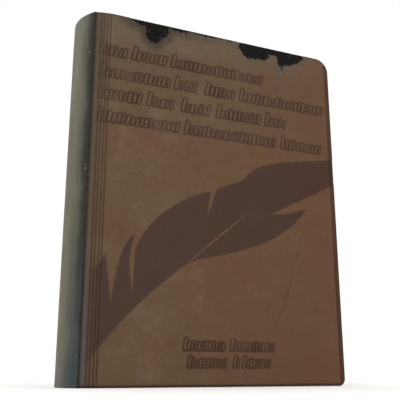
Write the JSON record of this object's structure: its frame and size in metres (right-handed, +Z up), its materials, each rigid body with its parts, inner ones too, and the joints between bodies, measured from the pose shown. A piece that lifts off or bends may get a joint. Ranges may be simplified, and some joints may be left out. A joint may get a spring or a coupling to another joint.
{
  "type": "leather-bound book",
  "caption": "Old upright hardback book in worn brown leather with a blind-tooled front, a stained feather and hinged covers.",
  "frame": {"origin": "middle of the footprint, on the surface that the book stands on", "axes": "+Z up the height of the book, +Y from the front cover to the back cover, +X from the spine to the fore edge"},
  "size_m": [0.199, 0.05, 0.252],
  "materials": {
    "cover_leather": "satin",
    "spine_leather": "matte",
    "leaves": "matte",
    "endpaper": "matte"
  },
  "bodies": {
    "block": {"text_block": "leaves", "spine": "spine_leather"},
    "front": {"front_cover": "cover_leather", "front_pastedown": "endpaper"},
    "back": {"back_cover": "cover_leather", "back_pastedown": "endpaper"}
  },
  "joints": [
    {"name": "front_hinge", "type": "hinge", "parent": "block", "child": "front", "pos_m": [-0.0908, -0.0224, 0], "axis": [0, 0, -1], "range_deg": [0, 180]},
    {"name": "back_hinge", "type": "hinge", "parent": "block", "child": "back", "pos_m": [-0.0908, 0.0224, 0], "axis": [0, 0, 1], "range_deg": [0, 180]}
  ]
}
